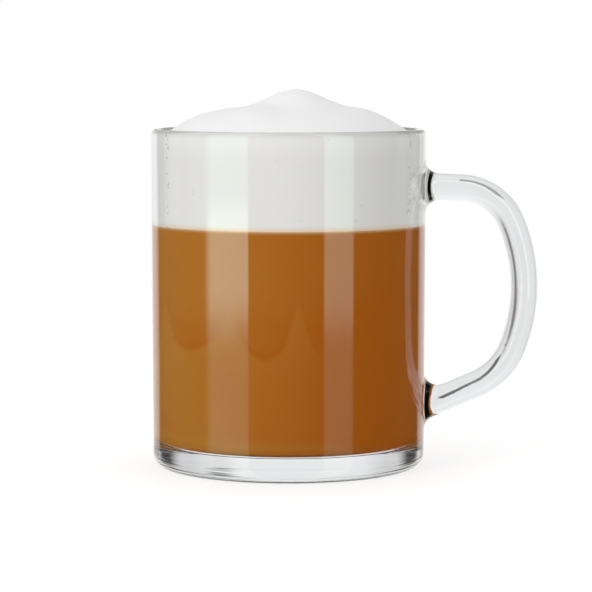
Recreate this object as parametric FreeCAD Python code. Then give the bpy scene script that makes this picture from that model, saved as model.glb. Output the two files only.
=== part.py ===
import FreeCAD, Part
import math
import os

# A clear pressed-glass mug with a bowed handle, filled with milk coffee under a
# domed head of milk foam. Millimetres and degrees. The origin is the centre of
# the foot on the table, +Z is up and the handle stands out along +X.

# Glass body
MUG_HEIGHT = 96.0
RIM_RADIUS = 39.0            # outside, at the rim
TAPER = 0.4                  # the foot's radius is smaller than the rim's by this
FOOT_RADIUS = RIM_RADIUS - TAPER
WALL = 3.1
FLOOR = 6.8                  # table to the drink
HEEL_ROUND = 4.0             # outer corner at the table
FLOOR_ROUND = 4.0            # inner corner at the floor
RIM_ROUND = 0.47 * WALL      # a little under half the wall, so the lip is almost round
FOOT_RING = 3.0              # width of the ring that the mug stands on
PUSH_UP = 2.2                # depth of the flat recess inside that ring
PUSH_SLOPE = 4.0             # width of the recess's sloping side
PUSH_ROUND = 6.0             # soft corner between that side and the recess's top

# Handle, along the centreline of its oval bar
HANDLE_DROP = 16.2           # rim to the upper arm, at the wall
HANDLE_LIFT = 17.0           # table to the lower arm, at the wall
HANDLE_REACH = 28.0          # rim to the farthest point of the grip
ARM_DROOP = 3.0              # upper arm's fall away from the wall
ARM_CLIMB = 22.7             # lower arm's rise away from the wall
SHOULDER_RADIUS = 16.0       # bend from the upper arm into the grip
ELBOW_RADIUS = 19.0          # bend from the grip into the lower arm
GRIP_BOW = 11.7              # how far the grip bows out over the arms' height
GRIP_RISE = 2.8              # farthest point of the grip above the arms' middle
BAR_THICKNESS = 7.6
BAR_WIDTH = 11.5             # across, along Y
ROOT_ROUND = 3.8             # fillet where an arm runs into the wall
ROOT_DEPTH = 6.0             # how far an arm starts inside the wall, before hollowing

# Drink
FOAM_EDGE_DROP = 1.2         # rim to the foam's edge on the glass
FOAM_DEPTH = 25.8            # foam's edge to the top of the coffee
FOAM_LINE = MUG_HEIGHT - FOAM_EDGE_DROP - FOAM_DEPTH
FOAM_CROWN = 7.5             # rise of the dome above its edge
DOME_POWER = 3.4             # how flat the dome is on top and how steep at its edge
PEAK_HEIGHT = 4.9            # whipped peak on top of the dome
PEAK_X = 2.0
PEAK_Y = -1.0
PEAK_WIDTH = 6.9
PEAK_LEAN = 0.1              # the peak is this share steeper towards +X
SHOULDER_HEIGHT = 0.7        # soft swelling of the dome on the handle's side
SHOULDER_SHARE = 0.55        # its place, as a share of the inner radius
SHOULDER_WIDTH = 5.0
SURFACE_STEPS = 24           # spans of the foam's top surface each way
SURFACE_MARGIN = 1.5         # the surface runs past the wall by this

UP = FreeCAD.Vector(0, 0, 1)
CENTRE = FreeCAD.Vector(0, 0, 0)
AWAY_FROM_HANDLE = 180       # turns the seam of a round solid to the side opposite the handle


def outer_radius(z):
    """Outside of the slightly tapered wall at height z."""
    return FOOT_RADIUS + (RIM_RADIUS - FOOT_RADIUS) * z / MUG_HEIGHT


def inner_radius(z):
    return outer_radius(z) - WALL


def tapered(bottom, top, radius_at):
    """A solid of revolution between two heights, its side following radius_at."""
    base = FreeCAD.Vector(0, 0, bottom)
    solid = Part.makeCone(radius_at(bottom), radius_at(top), top - bottom, base, UP)
    solid.rotate(CENTRE, UP, AWAY_FROM_HANDLE)
    return solid


def circles_at(solid, z, radius):
    """The circular edges of a solid at height z with this radius."""
    found = []
    for edge in solid.Edges:
        if edge.Degenerated or not isinstance(edge.Curve, Part.Circle):
            continue
        circle = edge.Curve
        if abs(circle.Center.z - z) < 0.01 and abs(circle.Radius - radius) < 0.01:
            found.append(edge)
    return found


def cavity():
    """The inside of the mug, from the floor to well above the foam's peak."""
    top = MUG_HEIGHT + FOAM_CROWN + PEAK_HEIGHT
    room = tapered(FLOOR, top, inner_radius)
    corner = circles_at(room, FLOOR, inner_radius(FLOOR))
    return room.makeFillet(FLOOR_ROUND, corner)


def blank():
    """The mug's outside as a solid block with its heel rounded."""
    block = tapered(0, MUG_HEIGHT, outer_radius)
    return block.makeFillet(HEEL_ROUND, circles_at(block, 0, FOOT_RADIUS))


def point(x, z):
    return FreeCAD.Vector(x, 0, z)


def bend_centre(root, angle, side, radius, grip_centre, grip_radius):
    """Centre of a bend that touches an arm's line and, from inside, the grip's arc.

    The arm leaves root at angle. side is -1 for a bend below it and +1 for one above.
    """
    along = FreeCAD.Vector(math.cos(angle), 0, math.sin(angle))
    across = FreeCAD.Vector(-math.sin(angle), 0, math.cos(angle)) * side
    start = root + across * radius
    offset = start - grip_centre
    projection = offset.dot(along)
    reach = grip_radius - radius
    travel = math.sqrt(projection ** 2 - offset.dot(offset) + reach ** 2) - projection
    return start + along * travel, across


def arc(centre, radius, start, end):
    """An arc from the start direction to the end direction, the short way round."""
    middle = start + end
    middle.normalize()
    ends = [centre + way * radius for way in (start, middle, end)]
    return Part.Arc(*ends).toShape()


def direction(start, end):
    way = end - start
    way.normalize()
    return way


def handle_path():
    """Arm, shoulder, bowed grip, elbow and arm, each tangent to the next."""
    upper_z = MUG_HEIGHT - HANDLE_DROP
    upper_root = point(outer_radius(upper_z), upper_z)
    lower_root = point(outer_radius(HANDLE_LIFT), HANDLE_LIFT)
    half_height = (upper_z - HANDLE_LIFT) / 2
    grip_radius = (half_height ** 2 + GRIP_BOW ** 2) / (2 * GRIP_BOW)
    grip_z = HANDLE_LIFT + half_height + GRIP_RISE
    grip_centre = point(RIM_RADIUS + HANDLE_REACH - grip_radius, grip_z)

    droop = math.radians(-ARM_DROOP)
    climb = math.radians(ARM_CLIMB)
    shoulder, below = bend_centre(upper_root, droop, -1, SHOULDER_RADIUS,
                                  grip_centre, grip_radius)
    elbow, above = bend_centre(lower_root, climb, 1, ELBOW_RADIUS,
                               grip_centre, grip_radius)
    to_shoulder = direction(grip_centre, shoulder)
    to_elbow = direction(grip_centre, elbow)
    upper_end = shoulder - below * SHOULDER_RADIUS
    lower_end = elbow - above * ELBOW_RADIUS
    upper_start = upper_root - direction(upper_root, upper_end) * ROOT_DEPTH
    lower_start = lower_root - direction(lower_root, lower_end) * ROOT_DEPTH
    outward = FreeCAD.Vector(1, 0, 0)

    edges = [
        Part.makeLine(upper_start, upper_end),
        arc(shoulder, SHOULDER_RADIUS, -below, to_shoulder),
        arc(grip_centre, grip_radius, to_shoulder, outward),
        arc(grip_centre, grip_radius, outward, to_elbow),
        arc(elbow, ELBOW_RADIUS, to_elbow, -above),
        Part.makeLine(lower_end, lower_start),
    ]
    return Part.Wire(edges), upper_start, direction(upper_start, upper_end)


def handle():
    """The oval bar swept along the handle's path, its ends buried in the wall."""
    path, start, heading = handle_path()
    oval = Part.Ellipse(CENTRE, BAR_WIDTH / 2, BAR_THICKNESS / 2).toShape()
    section = Part.Wire([oval])
    # the ellipse lies in XY with its width along X: stand it on the path, width along Y
    across = FreeCAD.Vector(0, 1, 0)
    frame = FreeCAD.Rotation(across, heading.cross(across), heading, "XYZ")
    section.Placement = FreeCAD.Placement(start, frame)
    return path.makePipeShell([section], True, True)


def root_edges(solid):
    """The edges where the handle's two arms leave the outer wall."""
    found = []
    for edge in solid.Edges:
        points = edge.discretize(9)
        on_wall = all(
            abs(math.hypot(p.x, p.y) - outer_radius(p.z)) < 0.02 for p in points)
        near_handle = all(p.x > 0 and abs(p.y) < BAR_WIDTH for p in points)
        if on_wall and near_handle:
            found.append(edge)
    return found


def recess_radius(z):
    """The sloping side of the recess under the base at height z."""
    return FOOT_RADIUS - HEEL_ROUND - FOOT_RING - PUSH_SLOPE * z / PUSH_UP


def recess_under_base():
    """The flat recess inside the foot's ring, its tool reaching below the table."""
    recess = tapered(-1, PUSH_UP, recess_radius)
    corner = circles_at(recess, PUSH_UP, recess_radius(PUSH_UP))
    return recess.makeFillet(PUSH_ROUND, corner)


def glass_mug():
    """Body and handle, one piece of pressed glass."""
    mug = blank().fuse(handle()).removeSplitter()
    mug = mug.makeFillet(ROOT_ROUND, root_edges(mug))
    mug = mug.cut(cavity())
    lip = circles_at(mug, MUG_HEIGHT, RIM_RADIUS)
    lip += circles_at(mug, MUG_HEIGHT, inner_radius(MUG_HEIGHT))
    mug = mug.makeFillet(RIM_ROUND, lip)
    return mug.cut(recess_under_base())


def foam_height(x, y):
    """Height of the foam's top: a dome, a whipped peak and a swelling beside it."""
    edge_z = MUG_HEIGHT - FOAM_EDGE_DROP
    radius = inner_radius(edge_z)
    share = math.hypot(x, y) / radius
    if share < 1:
        dome = FOAM_CROWN * (1 - share ** DOME_POWER)
    else:
        dome = FOAM_CROWN * DOME_POWER * (1 - share)
    dx = x - PEAK_X
    dy = y - PEAK_Y
    distance = max(math.hypot(dx, dy), 0.001)
    width = PEAK_WIDTH * (1 - PEAK_LEAN * dx / distance)
    peak = PEAK_HEIGHT * math.exp(-distance ** 2 / (2 * width ** 2))
    aside = math.hypot(x - SHOULDER_SHARE * radius, y)
    shoulder = SHOULDER_HEIGHT * math.exp(-aside ** 2 / (2 * SHOULDER_WIDTH ** 2))
    return edge_z + dome + peak + shoulder


def foam_top():
    """The foam's top as one smooth surface over the whole mouth of the mug."""
    reach = RIM_RADIUS - WALL + SURFACE_MARGIN
    places = [reach * (2 * i / SURFACE_STEPS - 1) for i in range(SURFACE_STEPS + 1)]
    rows = []
    for x in places:
        rows.append([FreeCAD.Vector(x, y, foam_height(x, y)) for y in places])
    surface = Part.BSplineSurface()
    surface.interpolate(rows)
    return surface.toShape()


def slab(bottom, top):
    """A block wider than the mug between two heights."""
    side = 3 * RIM_RADIUS
    corner = FreeCAD.Vector(-side / 2, -side / 2, bottom)
    return Part.makeBox(side, side, top - bottom, corner)


def milk_coffee():
    """The coffee, filling the mug from its floor to the foam."""
    return cavity().common(slab(0, FOAM_LINE))


def milk_foam():
    """The foam head, from the coffee to its domed top above the rim."""
    depth = MUG_HEIGHT - FOAM_LINE + FOAM_CROWN + PEAK_HEIGHT
    under_top = foam_top().extrude(FreeCAD.Vector(0, 0, -2 * depth))
    above_coffee = slab(FOAM_LINE, FOAM_LINE + 2 * depth)
    return cavity().common(above_coffee).common(under_top)


def save(shape, name):
    """Write one sub-part as a single solid."""
    solid = shape.Solids[0]
    solid.exportStep("parts/" + name + ".step")
    print(name, len(shape.Solids), "solid", round(solid.Volume), "mm3", solid.isValid())


os.makedirs("parts", exist_ok=True)
save(glass_mug(), "glass_mug")
save(milk_coffee(), "milk_coffee")
save(milk_foam(), "milk_foam")
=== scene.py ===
"""Flat white in a clear glass mug: milk coffee under a deep domed head of milk foam."""
import math

import bpy
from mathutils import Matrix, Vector


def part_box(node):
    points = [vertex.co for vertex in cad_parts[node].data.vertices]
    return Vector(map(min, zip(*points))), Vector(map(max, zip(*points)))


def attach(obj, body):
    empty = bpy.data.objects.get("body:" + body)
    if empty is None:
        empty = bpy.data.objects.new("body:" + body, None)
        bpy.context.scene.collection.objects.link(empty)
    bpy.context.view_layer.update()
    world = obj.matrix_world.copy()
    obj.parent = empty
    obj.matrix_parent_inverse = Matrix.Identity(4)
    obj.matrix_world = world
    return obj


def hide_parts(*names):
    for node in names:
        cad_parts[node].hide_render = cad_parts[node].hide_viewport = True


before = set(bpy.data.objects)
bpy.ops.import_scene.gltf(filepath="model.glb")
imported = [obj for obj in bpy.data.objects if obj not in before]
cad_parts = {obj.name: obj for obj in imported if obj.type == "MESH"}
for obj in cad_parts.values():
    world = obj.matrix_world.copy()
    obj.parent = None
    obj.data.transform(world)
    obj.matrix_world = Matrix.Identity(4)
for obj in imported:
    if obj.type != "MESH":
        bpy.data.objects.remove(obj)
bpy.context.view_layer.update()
scene = bpy.context.scene
scene.view_settings.view_transform = "Standard"


# The camera stands a little above the rim and looks slightly down on the drink, through a
# long lens from most of a metre away, with the handle to the right.
SENSOR_MM = 36.0
LENS_MM = 166.4
DISTANCE = 0.779
RISE = math.radians(5.07)
AIM_HEIGHT = 0.048
FRAMING = (0.01253, 0.00275)

lens = bpy.data.cameras.new("camera")
lens.sensor_width = SENSOR_MM
lens.lens = LENS_MM
lens.shift_x, lens.shift_y = FRAMING
camera = bpy.data.objects.new("camera", lens)
camera.location = (0.0, -DISTANCE * math.cos(RISE), AIM_HEIGHT + DISTANCE * math.sin(RISE))
camera.rotation_euler = (math.pi / 2 - RISE, 0.0, 0.0)
scene.collection.objects.link(camera)
scene.camera = camera


# The mug: soda-lime glass pressed in one piece with its handle, and fire-polished, so that
# its skin is smooth but never quite flat. The crest of the lip is tinted grey, a painted
# shade that draws the dark line the glass shows along the lip.
MUG_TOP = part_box("glass_mug")[1].z
GLASS_IOR = 1.5
GLASS_TINT = (0.985, 0.992, 0.989, 1.0)
RIPPLES_A_METRE = 55.0
RIPPLE_DETAIL = 1.0
RIPPLE_HEIGHT = 0.00001
# painted shade on the lip's crest: its grey, and how far under the top it starts and is full
CREST_PAINTED_SHADE = (0.70, 0.705, 0.695, 1.0)
CREST_SHADE_STARTS = 0.0020
CREST_SHADE_FULL = 0.0004


class Nodes:
    """The nodes of one material or world. An input is a number, a colour or an output."""

    def __init__(self, tree):
        self.tree = tree
        tree.nodes.clear()

    def add(self, kind, inputs=None, **settings):
        node = self.tree.nodes.new(kind)
        for setting, value in settings.items():
            setattr(node, setting, value)
        for socket, value in (inputs or {}).items():
            if isinstance(value, bpy.types.NodeSocket):
                self.tree.links.new(value, node.inputs[socket])
            else:
                node.inputs[socket].default_value = value
        return node

    def maths(self, operation, *values):
        inputs = dict(enumerate(values))
        return self.add("ShaderNodeMath", inputs, operation=operation).outputs[0]

    def plus(self, first, second):
        return self.maths("ADD", first, second)

    def minus(self, first, second):
        return self.maths("SUBTRACT", first, second)

    def times(self, first, second):
        return self.maths("MULTIPLY", first, second)

    def larger(self, first, second):
        return self.maths("MAXIMUM", first, second)

    def ramp(self, value, start, end, low=0.0, high=1.0, shape="SMOOTHSTEP"):
        """The value's way from start to end, put out as low to high."""
        inputs = {"Value": value, "From Min": start, "From Max": end,
                  "To Min": low, "To Max": high}
        return self.add("ShaderNodeMapRange", inputs, interpolation_type=shape).outputs[0]

    def blend(self, share, first, second):
        """The first colour, or the second where the share is 1."""
        return self.add("ShaderNodeMix", {0: share, 6: first, 7: second},
                        data_type="RGBA").outputs[2]

    def either(self, share, first, second):
        """The first shader, or the second where the share is 1."""
        return self.add("ShaderNodeMixShader", {0: share, 1: first, 2: second}).outputs[0]

    def place(self):
        return self.add("ShaderNodeTexCoord").outputs["Object"]

    def axes(self, place):
        return self.add("ShaderNodeSeparateXYZ", {0: place}).outputs

    def noise(self, place, scale, detail, **more):
        inputs = {"Vector": place, "Scale": scale, "Detail": detail, **more}
        return self.add("ShaderNodeTexNoise", inputs).outputs["Fac"]

    def bump(self, height, strength, distance):
        inputs = {"Height": height, "Strength": strength, "Distance": distance}
        return self.add("ShaderNodeBump", inputs).outputs["Normal"]

    def rays(self):
        return self.add("ShaderNodeLightPath").outputs

    def clear(self):
        return self.add("ShaderNodeBsdfTransparent").outputs[0]

    def surface(self, shader):
        self.add("ShaderNodeOutputMaterial", {"Surface": shader})


def new_material(name):
    material = bpy.data.materials.new(name)
    material.use_nodes = True
    return material, Nodes(material.node_tree)


def clear_glass():
    material, nodes = new_material("clear_glass")
    place = nodes.place()
    ripple = nodes.noise(place, RIPPLES_A_METRE, RIPPLE_DETAIL)
    # the lip's crest is tinted grey here: painted shade, not a colour of the glass
    crest_shade = nodes.ramp(nodes.axes(place)["Z"], MUG_TOP - CREST_SHADE_STARTS, MUG_TOP - CREST_SHADE_FULL,
                       shape="LINEAR")
    glass = nodes.add("ShaderNodeBsdfPrincipled",
                      {"Base Color": nodes.blend(crest_shade, GLASS_TINT, CREST_PAINTED_SHADE),
                       "Roughness": 0.0, "IOR": GLASS_IOR, "Transmission Weight": 1.0,
                       "Normal": nodes.bump(ripple, 1.0, RIPPLE_HEIGHT)}).outputs[0]
    # lamps and soft bounced light pass straight through the glass to the drink
    rays = nodes.rays()
    soft_light = nodes.larger(rays["Is Shadow Ray"], rays["Is Diffuse Ray"])
    nodes.surface(nodes.either(soft_light, glass, nodes.clear()))
    return material


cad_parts["glass_mug"].material_slots[0].material = clear_glass()


# The milk coffee fills the mug from its thick floor to the foam. It is opaque, and it wets
# the glass, so its skin lies a hair inside the wall and follows the rounded floor corner.
COFFEE_LOW, COFFEE_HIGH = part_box("milk_coffee")
INTO_WALL = 0.00015
WALL_TAPER = 0.4 / 96.0
FLOOR_CORNER = 0.004
FLOOR_CORNER_STEPS = 12
ROUND_PROFILE = 0.5
ROUND_STEPS = 256
SHARP_EDGE = math.radians(40)


def edit(piece):
    bpy.context.view_layer.objects.active = piece
    piece.select_set(True)
    bpy.ops.object.mode_set(mode="EDIT")
    bpy.ops.mesh.select_all(action="DESELECT")


def wall_radius(z):
    """Radius of a drink's skin at height z, just inside the tapering wall."""
    return COFFEE_HIGH.x + INTO_WALL - (COFFEE_HIGH.z - z) * WALL_TAPER


def filling(foot, top):
    """A round block that fills the mug from foot to top."""
    bpy.ops.object.select_all(action="DESELECT")
    bpy.ops.mesh.primitive_cone_add(
        vertices=ROUND_STEPS, radius1=wall_radius(foot), radius2=wall_radius(top),
        depth=top - foot, location=(0, 0, foot + (top - foot) / 2))
    return bpy.context.object


def finish_piece(piece, name, node, material):
    """Bake the piece's place into its mesh, smooth it, dress it and hang it on the mug."""
    bpy.ops.object.mode_set(mode="OBJECT")
    bpy.ops.object.transform_apply(location=True, rotation=True, scale=True)
    bpy.ops.object.shade_smooth_by_angle(angle=SHARP_EDGE)
    piece.name = name
    piece.data.materials.clear()
    piece.data.materials.append(material)
    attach(piece, "root")
    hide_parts(node)


def coffee_body():
    piece = filling(COFFEE_LOW.z - INTO_WALL, COFFEE_HIGH.z)
    edit(piece)
    # the edge round its foot, the only edges that lie wholly below the block's middle
    bpy.ops.mesh.select_mode(type="EDGE")
    bpy.ops.object.mode_set(mode="OBJECT")
    points = piece.data.vertices
    for edge in piece.data.edges:
        edge.select = max(points[i].co.z for i in edge.vertices) < 0
    bpy.ops.object.mode_set(mode="EDIT")
    bpy.ops.mesh.bevel(offset=FLOOR_CORNER, segments=FLOOR_CORNER_STEPS,
                       profile=ROUND_PROFILE, affect="EDGES")
    return piece


# Depths, heights and widths are in metres, and the streams' turns are in degrees.
COFFEE_IOR = 1.34
COFFEE_ROUGHNESS = 0.5
COFFEE_RICH = (0.422, 0.111, 0.0055, 1.0)
COFFEE_MILKY = (0.462, 0.190, 0.028, 1.0)
# painted shade: the darker brown where the coffee meets the mug's floor
COFFEE_PAINTED_FLOOR_SHADE = (0.15, 0.043, 0.006, 1.0)
COFFEE_AT_FOAM = (0.62, 0.34, 0.15, 1.0)
MIXING_DEPTH = 0.0009
FLOOR_SHADE = (0.0016, 0.0004)
CLOUDS_A_METRE = 26.0
CLOUD_DETAIL = 2.0
CLOUD_MIDDLE = 0.5
CLOUD_STRETCH = (1.0, 1.0, 1.5)
CLOUD_GRAIN = 0.4
CLOUD_SWIRL = 0.5
STREAM_PERIOD = 34.0
STREAM_START = 48.0
STREAM_DRIFT = 20.0
DRIFTS_A_METRE = 24.0
DRIFT_DETAIL = 0.0
STREAM_TOP = 0.052
STREAM_DROP = 0.017
STREAM_ROUNDNESS = 0.6
STREAM_WAVER = 0.015
STREAM_END = (0.003, -0.004)
STREAM_EDGE = 0.0022
STREAM_EDGE_FADE = (0.1, 0.8)
# painted light: how much paler the coffee's left side is, and how far across the paling
# reaches
PAINTED_LIGHT_SIDE = 0.55
PAINTED_LIGHT_REACH = 0.036
MILKY_BELOW = 0.8
MILKY_CLOUDS = 0.45
MILKY_HEIGHTS = (0.020, 0.062)
MILKY_BY_HEIGHT = (-0.20, 0.16)
MILKY_FLOOR = 0.25
MILKY_FLOOR_DEPTH = (0.006, 0.0025)
RICH_EDGE = 0.22
MILKY_RANGE = (-0.2, 1.2)


def turn_round(nodes, axes):
    """The turn round the mug's middle in radians, 0 at the front."""
    return nodes.maths("ARCTAN2", axes["X"], nodes.times(axes["Y"], -1.0))


def wetted(nodes, skin, drink_ior, where=1.0):
    """A drink that wets the glass: a mirror to any ray that grazes it inside the glass."""
    graze = nodes.add("ShaderNodeFresnel", {"IOR": drink_ior / GLASS_IOR}).outputs[0]
    mirror = nodes.add("ShaderNodeBsdfGlossy", {"Color": (1, 1, 1, 1), "Roughness": 0.0})
    nodes.surface(nodes.either(nodes.times(graze, where), skin.outputs[0], mirror.outputs[0]))


def coffee_look():
    material, nodes = new_material("milk_coffee")
    place = nodes.place()
    axes = nodes.axes(place)
    height = axes["Z"]
    # slow clouds of milk, drawn out sideways by the stirring
    drawn_out = nodes.add("ShaderNodeMapping", {"Vector": place, "Scale": CLOUD_STRETCH})
    clouds = nodes.noise(drawn_out.outputs[0], CLOUDS_A_METRE, CLOUD_DETAIL,
                         Roughness=CLOUD_GRAIN, Distortion=CLOUD_SWIRL)
    clouds = nodes.minus(clouds, CLOUD_MIDDLE)
    # the milk was poured in streams that sank and stopped in rounded ends
    around = nodes.times(turn_round(nodes, axes), math.degrees(1))
    drift = nodes.noise(place, DRIFTS_A_METRE, DRIFT_DETAIL)
    drift = nodes.times(drift, STREAM_DRIFT)
    around = nodes.plus(nodes.plus(around, drift), STREAM_START - STREAM_DRIFT / 2)
    wave = nodes.maths("COSINE", nodes.times(around, math.pi / STREAM_PERIOD))
    wave = nodes.maths("ABSOLUTE", wave)
    drop = nodes.times(nodes.maths("POWER", wave, STREAM_ROUNDNESS), STREAM_DROP)
    stream_end = nodes.minus(nodes.minus(STREAM_TOP, drop), nodes.times(clouds, STREAM_WAVER))
    over_end = nodes.minus(height, stream_end)
    below = nodes.ramp(over_end, *STREAM_END)
    edge = nodes.ramp(nodes.maths("ABSOLUTE", over_end), 0.0, STREAM_EDGE, 1.0, 0.0)
    edge = nodes.times(edge, nodes.ramp(wave, *STREAM_EDGE_FADE))
    # it is paler on its left and darker to its right, which is painted light and shade; it is
    # milkier below the streams, on the left most, up high and close to the floor
    aside = nodes.ramp(axes["X"], -PAINTED_LIGHT_REACH, PAINTED_LIGHT_REACH, PAINTED_LIGHT_SIDE, 0.0)
    milky = nodes.plus(aside, nodes.times(nodes.times(below, aside), MILKY_BELOW))
    milky = nodes.plus(milky, nodes.times(clouds, MILKY_CLOUDS))
    milky = nodes.plus(milky, nodes.ramp(height, *MILKY_HEIGHTS, *MILKY_BY_HEIGHT))
    settled = nodes.ramp(height, *(COFFEE_LOW.z + depth for depth in MILKY_FLOOR_DEPTH))
    milky = nodes.plus(milky, nodes.times(settled, MILKY_FLOOR))
    milky = nodes.minus(milky, nodes.times(edge, RICH_EDGE))
    milky = nodes.ramp(milky, *MILKY_RANGE, *MILKY_RANGE)
    colour = nodes.blend(milky, COFFEE_RICH, COFFEE_MILKY)
    # it is pale where it mixes with the foam, and darker where it meets the floor: painted
    # shade in the floor corner
    at_foam = nodes.ramp(height, COFFEE_HIGH.z - MIXING_DEPTH, COFFEE_HIGH.z)
    colour = nodes.blend(at_foam, colour, COFFEE_AT_FOAM)
    painted_floor_shade = nodes.ramp(height, *(COFFEE_LOW.z + depth for depth in FLOOR_SHADE))
    colour = nodes.blend(painted_floor_shade, colour, COFFEE_PAINTED_FLOOR_SHADE)
    skin = nodes.add("ShaderNodeBsdfPrincipled",
                     {"Base Color": colour, "Roughness": COFFEE_ROUGHNESS, "IOR": COFFEE_IOR,
                      "Specular IOR Level": 0.0})
    wetted(nodes, skin, COFFEE_IOR)
    return material


finish_piece(coffee_body(), "milk_coffee_body", "milk_coffee", coffee_look())


# The foam head: fine steamed-milk foam, spooned on so that it domes over the rim and ends
# in a soft peak. It clings to the glass and meets it a little under the lip.
FOAM_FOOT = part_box("milk_foam")[0].z
FOAM_EDGE = 0.0948
DOME_HEIGHT = 0.0075
DOME_POWER = 3.8
DOME_RADIUS = 0.0343
DOME_RINGS = 72
FACES_UP = 0.9
ABOVE_EDGE = 0.0001
# each spoon stroke: where it was made, how far it drew the foam up, and how far round
SPOON_STROKES = (
    (0.002, -0.001, 0.0049, 0.0165),
    (0.0205, -0.004, 0.0007, 0.012),
    (-0.010, -0.016, 0.0006, 0.011),
    (-0.002, -0.022, -0.0005, 0.009),
    (0.012, 0.014, 0.0006, 0.012),
)


def foam_body():
    piece = filling(FOAM_FOOT, FOAM_EDGE)
    bpy.ops.object.transform_apply(location=True, rotation=True, scale=True)
    edit(piece)
    bpy.ops.mesh.select_mode(type="FACE")
    bpy.ops.object.mode_set(mode="OBJECT")
    for face in piece.data.polygons:
        face.select = face.normal.z > FACES_UP
    bpy.ops.object.mode_set(mode="EDIT")
    # the top is drawn up into a dome, ring by ring
    radius = wall_radius(FOAM_EDGE)
    height = FOAM_EDGE
    for ring in range(DOME_RINGS):
        share = 1 - ring / DOME_RINGS
        next_radius = DOME_RADIUS * share
        next_height = FOAM_EDGE + DOME_HEIGHT * (1 - share ** DOME_POWER)
        bpy.ops.mesh.extrude_region_move(
            TRANSFORM_OT_translate={"value": (0, 0, next_height - height)})
        bpy.ops.transform.resize(value=(next_radius / radius, next_radius / radius, 1),
                                 center_override=(0, 0, next_height))
        radius = next_radius
        height = next_height
    bpy.ops.mesh.merge(type="CENTER")
    return piece


def spoon_stroke(piece, x, y, lift, reach):
    """Draw the foam's top up or down round a point, as the back of a spoon does."""
    bpy.ops.mesh.select_mode(type="VERT")
    bpy.ops.mesh.select_all(action="DESELECT")
    bpy.ops.object.mode_set(mode="OBJECT")
    top = [point for point in piece.data.vertices if point.co.z > FOAM_EDGE + ABOVE_EDGE]
    nearest = min(top, key=lambda point: (point.co.x - x) ** 2 + (point.co.y - y) ** 2)
    nearest.select = True
    bpy.ops.object.mode_set(mode="EDIT")
    bpy.ops.transform.translate(
        value=(0, 0, lift), use_proportional_edit=True, proportional_size=reach,
        proportional_edit_falloff="SMOOTH", use_proportional_connected=False)


FOAM_IOR = 1.33
FOAM_ROUGHNESS = 0.6
FOAM_SHEEN = 0.2
FOAM_WHITE = (0.90, 0.90, 0.90, 1.0)
FOAM_DULL = (0.875, 0.875, 0.873, 1.0)
DULL_SPOTS_A_METRE = 60.0
DULL_SPOT_DETAIL = 3.0
FOAM_AT_GLASS = (0.885, 0.876, 0.845, 1.0)
TOUCHES_WITHIN = 0.0002
# painted light: the paler foam colour under the dome, and the depths where it fades in
FOAM_PAINTED_LIGHT = (0.94, 0.932, 0.905, 1.0)
PAINTED_LIGHT_DEPTH = (0.0075, 0.00075)
FOAM_STAINED = (0.90, 0.68, 0.46, 1.0)
STAIN_DEPTH = 0.0016
BUBBLE_SHADE = (0.38, 0.37, 0.34, 1.0)
BUBBLES_A_METRE = 950.0
BUBBLE_LIP = (0.16, 0.34)
BUBBLE_ROW_TURN = math.radians(62.5)
BUBBLE_ROW_WIDTH = math.radians(1.6)
ROW_SHARE = 0.85
STRAY_SHARE = 0.025
STRAY_DEPTH = 0.3
FINE_BUBBLES_A_METRE = 1400.0
FINE_BUBBLE_DEPTH = 0.0001
FINE_BUBBLE_STRENGTH = 0.2
AIR_FILM_IOR = 0.98
AIR_FILM_SHARE = 0.6


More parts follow.
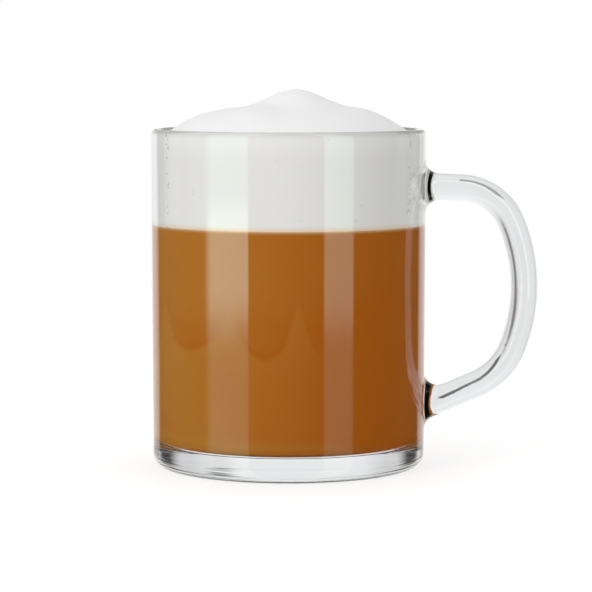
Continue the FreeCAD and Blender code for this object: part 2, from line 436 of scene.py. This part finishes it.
def foam_look():
    material, nodes = new_material("milk_foam")
    place = nodes.place()
    axes = nodes.axes(place)
    height = axes["Z"]
    # the foam is a little denser and duller in places
    dull = nodes.noise(place, DULL_SPOTS_A_METRE, DULL_SPOT_DETAIL)
    colour = nodes.blend(dull, FOAM_WHITE, FOAM_DULL)
    # it is yellower at the glass, and paler near the top, a painted light for light that soaks
    # in through the dome
    painted_light_band = nodes.ramp(height, *(FOAM_EDGE - depth for depth in PAINTED_LIGHT_DEPTH))
    against_glass = nodes.blend(painted_light_band, FOAM_AT_GLASS, FOAM_PAINTED_LIGHT)
    at_glass = nodes.ramp(height, FOAM_EDGE, FOAM_EDGE - TOUCHES_WITHIN, shape="LINEAR")
    colour = nodes.blend(at_glass, colour, against_glass)
    # coffee has soaked into its foot
    stained = nodes.ramp(height, FOAM_FOOT + STAIN_DEPTH, FOAM_FOOT)
    colour = nodes.blend(stained, colour, FOAM_STAINED)
    # a few bubbles burst open against the glass, most of them in two upright rows, and the
    # strays are shallower than those in the rows
    bubbles = nodes.add("ShaderNodeTexVoronoi",
                        {"Vector": place, "Scale": BUBBLES_A_METRE}).outputs
    lot = nodes.add("ShaderNodeSeparateColor", {0: bubbles["Color"]}).outputs[0]
    turn = nodes.maths("ABSOLUTE", turn_round(nodes, axes))
    in_row = nodes.maths("COMPARE", turn, BUBBLE_ROW_TURN, BUBBLE_ROW_WIDTH)
    share = nodes.maths("MULTIPLY_ADD", in_row, ROW_SHARE, STRAY_SHARE)
    burst = nodes.times(nodes.maths("LESS_THAN", lot, share), at_glass)
    burst = nodes.times(burst, nodes.ramp(bubbles["Distance"], *BUBBLE_LIP, 1.0, 0.0))
    depth = nodes.maths("MULTIPLY_ADD", in_row, 1 - STRAY_DEPTH, STRAY_DEPTH)
    colour = nodes.blend(nodes.times(burst, depth), colour, BUBBLE_SHADE)
    fine = nodes.add("ShaderNodeTexVoronoi",
                     {"Vector": place, "Scale": FINE_BUBBLES_A_METRE}).outputs["Distance"]
    skin = nodes.add("ShaderNodeBsdfPrincipled",
                     {"Base Color": colour, "Roughness": FOAM_ROUGHNESS, "IOR": FOAM_IOR,
                      "Specular IOR Level": FOAM_SHEEN,
                      "Normal": nodes.bump(fine, FINE_BUBBLE_STRENGTH, FINE_BUBBLE_DEPTH)})
    # its side presses on the glass with a film of air between, and its dome is in the open
    wetted(nodes, skin, AIR_FILM_IOR, nodes.times(at_glass, AIR_FILM_SHARE))
    return material


foam = foam_body()
for stroke in SPOON_STROKES:
    spoon_stroke(foam, *stroke)
finish_piece(foam, "milk_foam_head", "milk_foam", foam_look())


# The studio: a plain pale table, soft light from all round and above, a soft box on each
# side of the camera, and behind the mug a lit white panel with a dark gap along its edges.
# Clear glass bends and mirrors these, and that is all that makes it visible.

# What is seen through the glass. Turns and lifts are in degrees, and a turn is 0 towards the
# panel behind and 180 towards the camera. Four numbers are two ends and how soft each is.
PANEL_TINT = (0.985, 0.988, 1.0, 1.0)
PANEL_BRIGHT = (0.83, 0.89)
PANEL_BRIGHT_LIFTS = (-4.0, 12.0)
PANEL_SIDES = 0.80
PANEL_SIDES_TURNS = (20.0, 34.0)
PANEL_MIDDLE = 4.5
PANEL_REACH = 8.0
PANEL_STRETCH = 2.0
PANEL_SQUARENESS = 4.0
GAP_DEPTH = 0.8
GAP_HALF_WIDTH = (0.2, 3.8)
GAP_START_TURNS = (7.0, 15.0)
GAP_END_LIFTS = (0.0, 12.0)
CURTAIN_TURNS = (45.0, 62.0, 6.0, 5.0)
CURTAIN_LIFTS = (2.5, 20.0, 2.5, 5.0)
ROOM_DARK = 0.065
ROOM_TURNS = (72.0, 150.0, 6.0, 15.0)
ROOM_LIFTS = (-30.0, 45.0, 10.0, 12.0)
# what the glass mirrors
PAPER_EDGE = (34.0, 42.0)
PAPER_TOP = (4.0, 16.0)
PAPER_OVERHEAD = 0.3
BOX_TINT = (0.84, 1.045, 0.87, 1.0)
LEFT_BOX_TURNS = (109.0, 146.4, 5.0, 1.0)
LEFT_BOX_FOOT_AND_TOP = (1.15, 4.35)
LEFT_BOX_LIFTS = (-6.7, -5.3)
LEFT_BOX_CROWN = 0.46
LEFT_BOX_CROWN_LIFTS = (-4.0, -3.3)
RIGHT_BOX_TURNS = (124.7, 150.4, 1.5, 1.5)
RIGHT_BOX_FOOT_AND_TOP = (0.96, 2.5)
RIGHT_BOX_LIFTS = (-6.7, -5.5)
CEILING_BRIGHT = 0.4
CEILING_LIFTS = (30.0, 60.0)
# what lights the drink
SKY_LOW = 0.74
SKY_HIGH = 0.22
SKY_RIGHT = 0.82
SKY_RIGHT_STARTS = 0.6
WHITE = (1, 1, 1, 1)


def between(nodes, value, low, high, soft_low, soft_high):
    """1 from low to high and 0 outside, with a soft step at each end."""
    rise = nodes.ramp(value, low - soft_low, low + soft_low)
    fall = nodes.ramp(value, high - soft_high, high + soft_high, 1.0, 0.0)
    return nodes.times(rise, fall)


def seen_through(nodes, turn, aside, lift):
    """How bright the studio is behind the glass. Aside is the turn, to either side."""
    panel = nodes.ramp(lift, *PANEL_BRIGHT_LIFTS, *PANEL_BRIGHT)
    panel = nodes.times(panel, nodes.ramp(aside, *PANEL_SIDES_TURNS, 1.0, PANEL_SIDES))
    # the dark gap follows the panel's right and lower edges round their corner
    over = nodes.maths("DIVIDE", nodes.minus(turn, PANEL_MIDDLE), PANEL_STRETCH)
    over = nodes.maths("POWER", nodes.larger(over, 0.0), PANEL_SQUARENESS)
    under = nodes.larger(nodes.times(lift, -1.0), 0.0)
    under = nodes.maths("POWER", under, PANEL_SQUARENESS)
    reach = nodes.maths("POWER", nodes.plus(over, under), 1 / PANEL_SQUARENESS)
    off_edge = nodes.maths("ABSOLUTE", nodes.minus(reach, PANEL_REACH))
    gap = nodes.ramp(off_edge, *GAP_HALF_WIDTH, GAP_DEPTH, 0.0)
    gap = nodes.times(gap, nodes.ramp(turn, *GAP_START_TURNS))
    gap = nodes.times(gap, nodes.ramp(lift, *GAP_END_LIFTS, 1.0, 0.0))
    curtain = nodes.times(between(nodes, aside, *CURTAIN_TURNS),
                          between(nodes, lift, *CURTAIN_LIFTS))
    room = nodes.times(between(nodes, aside, *ROOM_TURNS), between(nodes, lift, *ROOM_LIFTS))
    dark = nodes.larger(gap, nodes.larger(curtain, room))
    return nodes.ramp(dark, 0.0, 1.0, panel, ROOM_DARK, shape="LINEAR")


def mirrored(nodes, turn, paper, lift):
    """How bright the studio is in the glass's own reflections."""
    left = between(nodes, nodes.times(turn, -1.0), *LEFT_BOX_TURNS)
    left = nodes.times(left, nodes.ramp(lift, *LEFT_BOX_LIFTS, *LEFT_BOX_FOOT_AND_TOP))
    left = nodes.times(left, nodes.ramp(lift, *LEFT_BOX_CROWN_LIFTS, 1.0, LEFT_BOX_CROWN))
    right = between(nodes, turn, *RIGHT_BOX_TURNS)
    right = nodes.times(right, nodes.ramp(lift, *RIGHT_BOX_LIFTS, *RIGHT_BOX_FOOT_AND_TOP))
    ceiling = nodes.ramp(lift, *CEILING_LIFTS, ROOM_DARK, CEILING_BRIGHT)
    return nodes.plus(nodes.plus(left, right), nodes.plus(paper, ceiling))


def studio_world():
    world = bpy.data.worlds.new("studio")
    world.use_nodes = True
    nodes = Nodes(world.node_tree)
    axes = nodes.axes(nodes.add("ShaderNodeTexCoord").outputs["Generated"])
    turn = nodes.times(nodes.maths("ARCTAN2", axes["X"], axes["Y"]), math.degrees(1))
    aside = nodes.maths("ABSOLUTE", turn)
    lift = nodes.times(nodes.maths("ARCSINE", axes["Z"]), math.degrees(1))

    def light(colour, strength):
        return nodes.add("ShaderNodeBackground",
                         {"Color": colour, "Strength": strength}).outputs[0]

    sky = nodes.ramp(axes["Z"], 0.0, 1.0, SKY_LOW, SKY_HIGH)
    sky = nodes.times(sky, nodes.ramp(axes["X"], SKY_RIGHT_STARTS, 1.0, 1.0, SKY_RIGHT))
    paper = nodes.times(nodes.ramp(aside, *PAPER_EDGE, 1.0, 0.0),
                        nodes.ramp(lift, *PAPER_TOP, 1.0, PAPER_OVERHEAD))
    mirror = light(nodes.blend(paper, BOX_TINT, WHITE), mirrored(nodes, turn, paper, lift))
    behind = light(PANEL_TINT, seen_through(nodes, turn, aside, lift))
    rays = nodes.rays()
    shown = nodes.either(rays["Is Glossy Ray"], light(WHITE, sky), mirror)
    shown = nodes.either(rays["Is Transmission Ray"], shown, behind)
    shown = nodes.either(rays["Is Camera Ray"], shown, light(WHITE, 1.0))
    nodes.add("ShaderNodeOutputWorld", {"Surface": shown})
    scene.world = world


studio_world()

# the table is there for the camera and for soft light, and the glass shows the studio alone
TABLE_SIZE = 0.66
TABLE_TOP = -0.00005
TABLE_PAPER = (0.85, 0.85, 0.85, 1)
TABLE_SHADOWED = (0.45, 0.45, 0.45, 1)
TABLE_GLOW = 0.66


def studio_table():
    bpy.ops.object.select_all(action="DESELECT")
    bpy.ops.mesh.primitive_plane_add(size=TABLE_SIZE, location=(0, 0, TABLE_TOP))
    table = bpy.context.object
    table.name = "table"
    material, nodes = new_material("table")
    paper = nodes.add("ShaderNodeBsdfDiffuse", {"Color": TABLE_PAPER}).outputs[0]
    shadowed = nodes.add("ShaderNodeBsdfDiffuse", {"Color": TABLE_SHADOWED}).outputs[0]
    glow = nodes.add("ShaderNodeEmission", {"Color": WHITE, "Strength": TABLE_GLOW}).outputs[0]
    seen = nodes.add("ShaderNodeAddShader", {0: shadowed, 1: glow}).outputs[0]
    rays = nodes.rays()
    in_glass = nodes.larger(rays["Is Glossy Ray"], rays["Is Transmission Ray"])
    unseen = nodes.either(in_glass, paper, nodes.clear())
    nodes.surface(nodes.either(rays["Is Camera Ray"], unseen, seen))
    table.data.materials.append(material)


studio_table()

# each dark card behind the handle: its sides, its heights, how far behind the mug's middle
# it stands, and how bright it is
DARK_CARDS = {
    "low_card": ((0.045, 0.078), (0.0125, 0.0185), 0.062, 0.15),
    "high_card": ((0.050, 0.058), (0.0675, 0.071), 0.035, 0.38),
}


def dark_card(name, sides, heights, behind, brightness):
    """A narrow card that only the glass shows, as a dark line down the middle of the bar."""
    bpy.ops.object.select_all(action="DESELECT")
    bpy.ops.mesh.primitive_plane_add(
        size=1.0, location=(sum(sides) / 2, behind, sum(heights) / 2),
        rotation=(math.pi / 2, 0, 0))
    card = bpy.context.object
    card.scale = (sides[1] - sides[0], heights[1] - heights[0], 1)
    bpy.ops.object.transform_apply(location=False, rotation=True, scale=True)
    card.name = name
    material, nodes = new_material(name)
    shade = nodes.add("ShaderNodeEmission", {"Color": WHITE, "Strength": brightness})
    nodes.surface(nodes.either(nodes.rays()["Is Transmission Ray"], nodes.clear(),
                               shade.outputs[0]))
    card.data.materials.append(material)


for name, card in DARK_CARDS.items():
    dark_card(name, *card)

# each lamp: where it stands, its width and height, and its watts
LAMP_AIM = (0, 0, 0.05)
LAMPS = {
    "left_box": ((-0.75, -0.75, 0.5), (0.5, 0.9), 3.9),
    "right_box": ((0.7, -0.9, 0.5), (0.4, 0.9), 0.8),
    "top_box": ((0.0, 0.1, 1.1), (0.9, 0.9), 5.5),
}


def soft_box(name, place, size, watts):
    """A rectangular lamp turned to the mug. The glass mirrors the world's boxes instead."""
    lamp = bpy.data.lights.new(name, "AREA")
    lamp.shape = "RECTANGLE"
    lamp.size, lamp.size_y = size
    lamp.energy = watts
    box = bpy.data.objects.new(name, lamp)
    box.location = place
    box.rotation_euler = (Vector(LAMP_AIM) - Vector(place)).to_track_quat("-Z", "Y").to_euler()
    box.visible_glossy = False
    box.visible_transmission = False
    scene.collection.objects.link(box)


for name, lamp in LAMPS.items():
    soft_box(name, *lamp)
